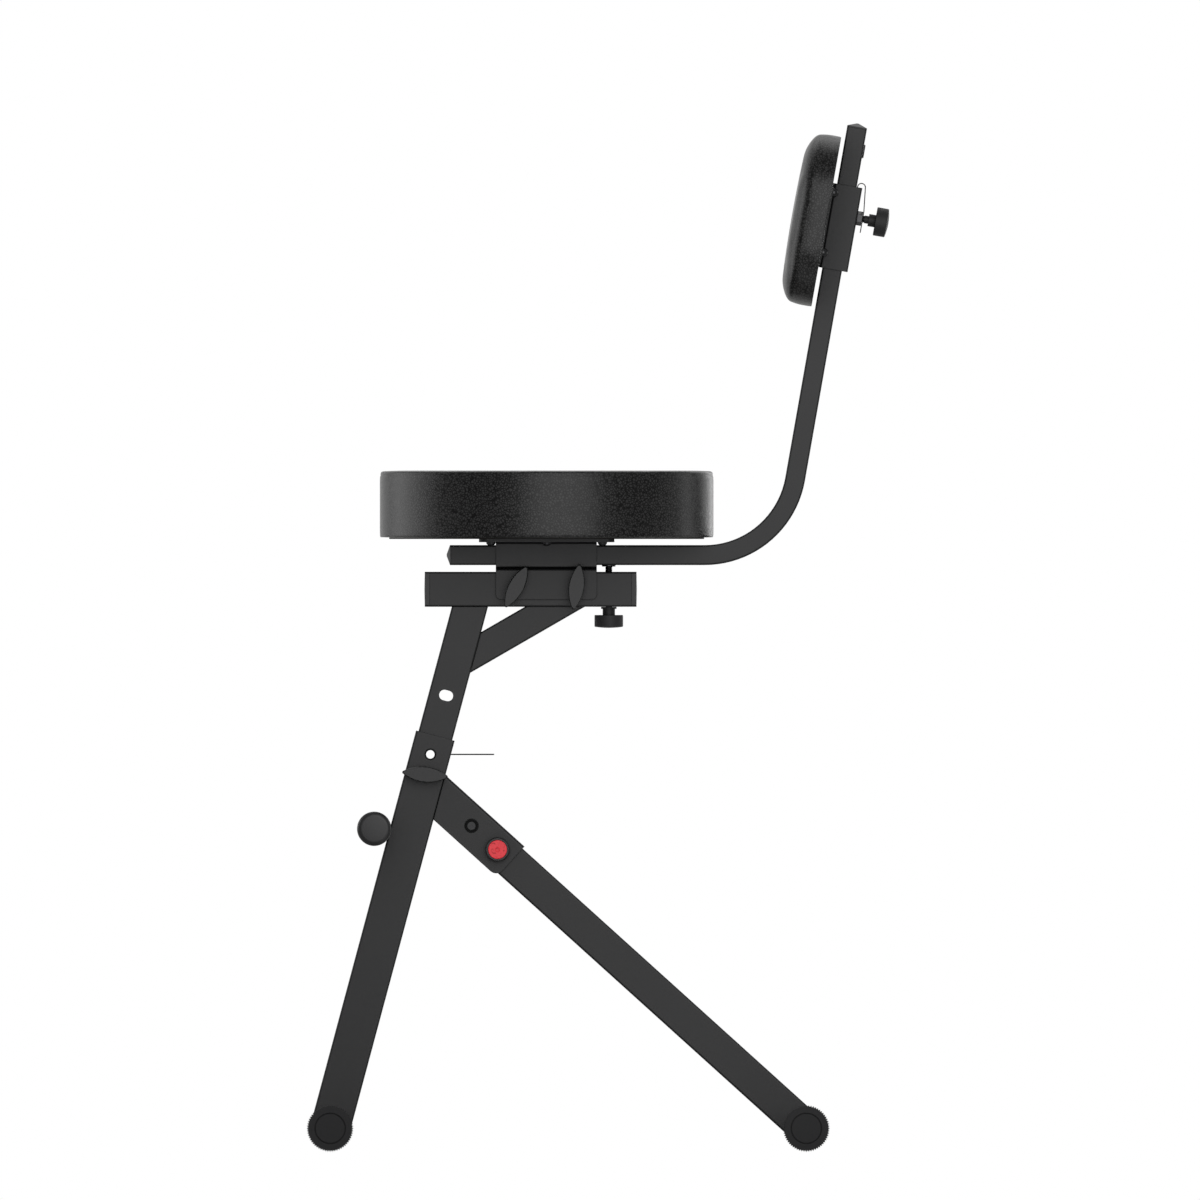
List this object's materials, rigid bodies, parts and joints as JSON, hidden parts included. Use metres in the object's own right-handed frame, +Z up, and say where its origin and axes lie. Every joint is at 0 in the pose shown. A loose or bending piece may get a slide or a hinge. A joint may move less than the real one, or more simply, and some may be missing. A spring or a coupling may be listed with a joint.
{
  "type": "guitar stool",
  "caption": "Folding guitarist's stool with a round padded seat, sliding padded backrest, footrest bar, telescopic front leg, folding rear leg and wide rubber feet.",
  "frame": {"origin": "on the floor under the middle of the overall box", "axes": "+Z up, -X the way the sitter faces, +Y to the sitter's right"},
  "size_m": [0.5827, 0.4502, 1.0286],
  "materials": {
    "black_powder_coat": "semi-matt black powder coat",
    "black_zinc": "black zinc plate",
    "zinc_steel": "bright zinc plate",
    "rubber": "moulded black rubber",
    "black_nylon": "moulded black nylon",
    "red_nylon": "moulded red nylon",
    "black_vinyl": "grained black vinyl over foam",
    "plywood": "plywood stained black"
  },
  "bodies": {
    "base": {"front_leg_sleeve": "black_powder_coat", "front_cross_tube": "black_powder_coat", "front_foot_left": "rubber", "front_foot_right": "rubber", "footrest_tube": "black_powder_coat", "footrest_grip_left": "rubber", "footrest_grip_right": "rubber", "hinge_bracket": "black_powder_coat", "pivot_pin": "black_zinc", "pivot_star_washer": "black_zinc", "pivot_washers": "black_nylon", "button_housing": "black_nylon", "button_spring": "rubber", "height_clamp_nut": "black_powder_coat", "lock_pin_guide": "black_powder_coat"},
    "rear_leg": {"rear_leg_tube": "black_powder_coat", "rear_pivot_tube": "black_powder_coat", "rear_cross_tube": "black_powder_coat", "rear_foot_left": "rubber", "rear_foot_right": "rubber"},
    "release_button": {"release_button": "red_nylon", "lock_rod": "zinc_steel"},
    "lock_pin": {"lock_pin": "black_zinc", "lock_pin_loop": "black_zinc"},
    "height_knob": {"height_wing": "black_nylon", "height_stud": "black_zinc"},
    "mast": {"seat_post": "black_powder_coat", "post_plug": "black_nylon", "seat_beam": "black_powder_coat", "beam_cap_front": "black_nylon", "beam_cap_rear": "black_nylon", "brace": "black_powder_coat", "backrest_bar": "black_powder_coat", "bar_cap_front": "black_nylon", "bar_cap_top": "black_nylon", "bar_rivet_nut": "black_zinc", "accessory_rivet_nut": "black_zinc"},
    "bar_knob": {"bar_knob": "black_nylon", "bar_stud": "black_zinc"},
    "seat": {"seat_cushion": "black_vinyl", "seat_board": "plywood", "seat_plate": "black_powder_coat", "seat_screws": "black_zinc", "seat_tunnel": "black_powder_coat", "seat_saddle": "black_powder_coat", "saddle_nuts": "black_powder_coat"},
    "seat_knob_front": {"seat_wing_front": "black_nylon", "seat_stud_front": "black_zinc"},
    "seat_knob_rear": {"seat_wing_rear": "black_nylon", "seat_stud_rear": "black_zinc"},
    "backrest": {"backrest_cushion": "black_vinyl", "backrest_board": "plywood", "backrest_plate": "black_powder_coat", "backrest_screws": "black_zinc", "backrest_sleeve": "black_powder_coat", "backrest_nut": "black_zinc", "leaf_clip": "black_zinc"},
    "backrest_knob": {"backrest_knob": "black_nylon", "backrest_stud": "black_zinc"}
  },
  "joints": [
    {"name": "leg_fold", "type": "hinge", "parent": "base", "child": "rear_leg", "pos_m": [-0.12658, 0, 0.32613], "axis": [0, 1, 0], "range_deg": [0, 63]},
    {"name": "button_press", "type": "slide", "parent": "base", "child": "release_button", "axis": [0, 1, 0], "range_m": [0, 0.004], "stiffness_N_per_m": 1500, "springref_m": -0.004, "deforming": ["button_spring"]},
    {"name": "lock_pin_insert", "type": "slide", "parent": "base", "child": "lock_pin", "axis": [0, -1, 0], "range_m": [0, 0.039]},
    {"name": "height_knob_turn", "type": "hinge", "parent": "base", "child": "height_knob", "pos_m": [-0.17306, -0.02, 0.37751], "axis": [0, -1, 0], "continuous": true},
    {"name": "height_slide", "type": "slide", "parent": "base", "child": "mast", "axis": [0.2588, 0, 0.9659], "range_m": [-0.061, 0.061]},
    {"name": "bar_knob_turn", "type": "hinge", "parent": "mast", "child": "bar_knob", "pos_m": [0.01077, 0, 0.5452], "axis": [0, 0, -1], "continuous": true},
    {"name": "seat_slide", "type": "slide", "parent": "mast", "child": "seat", "axis": [1, 0, 0], "range_m": [-0.045, 0.004]},
    {"name": "seat_knob_front_turn", "type": "hinge", "parent": "seat", "child": "seat_knob_front", "pos_m": [-0.08188, -0.0213, 0.5651], "axis": [0, -1, 0], "continuous": true},
    {"name": "seat_knob_rear_turn", "type": "hinge", "parent": "seat", "child": "seat_knob_rear", "pos_m": [-0.02158, -0.0213, 0.5651], "axis": [0, -1, 0], "continuous": true},
    {"name": "backrest_slide", "type": "slide", "parent": "mast", "child": "backrest", "axis": [0.1736, 0, 0.9848], "range_m": [-0.15, 0.02]},
    {"name": "backrest_knob_turn", "type": "hinge", "parent": "backrest", "child": "backrest_knob", "pos_m": [0.25907, 0, 0.93396], "axis": [0.9848, 0, -0.1736], "continuous": true}
  ]
}
